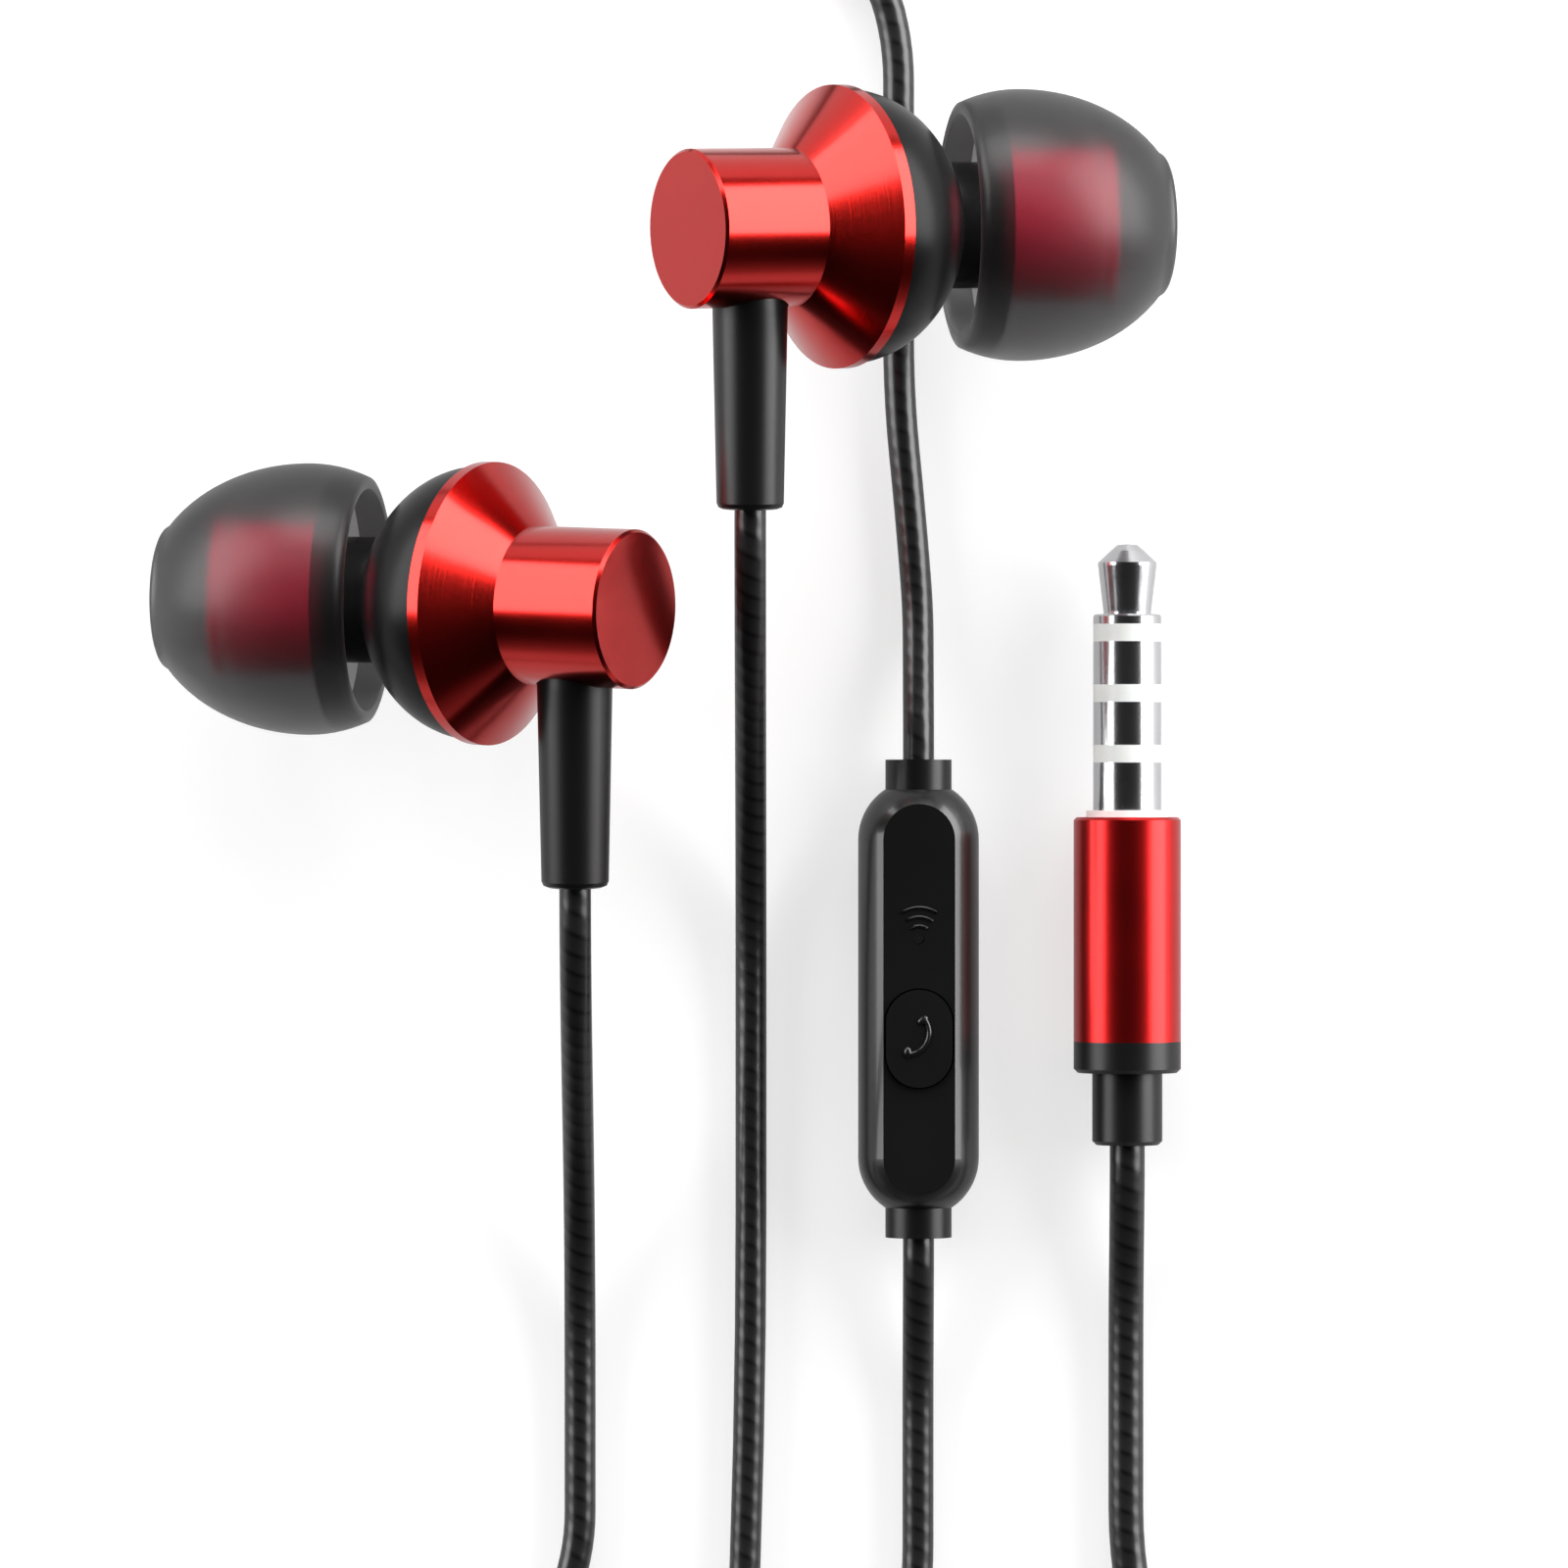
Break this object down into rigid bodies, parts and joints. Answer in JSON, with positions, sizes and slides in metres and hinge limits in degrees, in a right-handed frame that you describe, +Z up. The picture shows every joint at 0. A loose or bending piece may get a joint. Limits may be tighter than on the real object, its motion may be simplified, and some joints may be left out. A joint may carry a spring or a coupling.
{
  "type": "wired earphones",
  "caption": "In-ear earphones with red metal shells, silicone ear tips, an in-line remote with a call button, and a thin cord that ends in a straight headset plug.",
  "frame": {"origin": "on the table, under the middle of the box round the two earpieces with their ear tips and strain reliefs", "axes": "+Z up from the table, +X from the left earpiece's tip to the right one's, +Y against the way the strain reliefs point"},
  "size_m": [0.0665, 0.1313, 0.0181],
  "materials": {
    "red_metal": "red anodised, polished",
    "gloss_black": "gloss",
    "button_black": "gloss",
    "steel_mesh": "satin, perforated",
    "smoke_silicone": "translucent smoke grey, semi-gloss",
    "red_silicone": "red, satin",
    "soft_black": "satin",
    "cord_jacket": "semi-gloss, part see-through over twisted wires",
    "copper": "bare copper",
    "board": "solder mask",
    "inner_black": "matte",
    "steel": "satin",
    "nickel": "polished nickel",
    "film": "thin film, satin",
    "pale_plastic": "satin"
  },
  "bodies": {
    "earphones": {"rear_shell_left": "red_metal", "rear_shell_right": "red_metal", "front_shell_left": "gloss_black", "front_shell_right": "gloss_black", "nozzle_mesh_left": "steel_mesh", "nozzle_mesh_right": "steel_mesh", "strain_relief_left": "soft_black", "strain_relief_right": "soft_black", "cord_knot_left": "cord_jacket", "cord_knot_right": "cord_jacket", "lead_wires_left": "copper", "lead_wires_right": "copper", "solder_board_left": "board", "solder_board_right": "board", "driver_frame_left": "inner_black", "driver_frame_right": "inner_black", "yoke_left": "steel", "yoke_right": "steel", "magnet_left": "nickel", "magnet_right": "nickel", "top_plate_left": "steel", "top_plate_right": "steel", "remote_top_case": "gloss_black", "remote_base_case": "gloss_black", "switch_dome": "steel", "switch_body": "inner_black", "remote_board": "board", "mic_capsule": "nickel", "mic_gasket": "soft_black", "remote_upper_collar": "soft_black", "remote_lower_collar": "soft_black", "jack_tip": "nickel", "jack_first_ring": "nickel", "jack_second_ring": "nickel", "jack_sleeve": "nickel", "jack_insulators": "pale_plastic", "shoulder_ring": "pale_plastic", "plug_core": "inner_black", "plug_barrel": "red_metal", "plug_tail": "soft_black", "cord_left_upper": "cord_jacket", "cord_left_lower": "cord_jacket", "cord_right": "cord_jacket", "coil_right": "cord_jacket", "y_joint": "soft_black", "cord_main": "cord_jacket", "coil_main": "cord_jacket"},
    "ear_tip_left": {"tip_skirt_left": "smoke_silicone", "tip_core_left": "red_silicone"},
    "cone_left": {"diaphragm_left": "film", "voice_coil_left": "copper"},
    "ear_tip_right": {"tip_skirt_right": "smoke_silicone", "tip_core_right": "red_silicone"},
    "cone_right": {"diaphragm_right": "film", "voice_coil_right": "copper"},
    "call_button": {"call_button": "button_black"}
  },
  "joints": [
    {"name": "tip_pull_left", "type": "slide", "parent": "earphones", "child": "ear_tip_left", "axis": [-0.9848, 0.0151, -0.173], "range_m": [0, 0.005]},
    {"name": "tip_pull_right", "type": "slide", "parent": "earphones", "child": "ear_tip_right", "axis": [0.9848, 0.0151, -0.173], "range_m": [0, 0.005]},
    {"name": "cone_travel_left", "type": "slide", "parent": "earphones", "child": "cone_left", "axis": [-0.866, 0.0436, -0.4981], "range_m": [-0.00015, 0.00015], "stiffness_N_per_m": 400},
    {"name": "cone_travel_right", "type": "slide", "parent": "earphones", "child": "cone_right", "axis": [0.866, 0.0436, -0.4981], "range_m": [-0.00015, 0.00015], "stiffness_N_per_m": 400},
    {"name": "button_press", "type": "slide", "parent": "earphones", "child": "call_button", "axis": [0, 0, -1], "range_m": [0, 0.00025], "stiffness_N_per_m": 4000, "deforming": ["switch_dome"]}
  ]
}
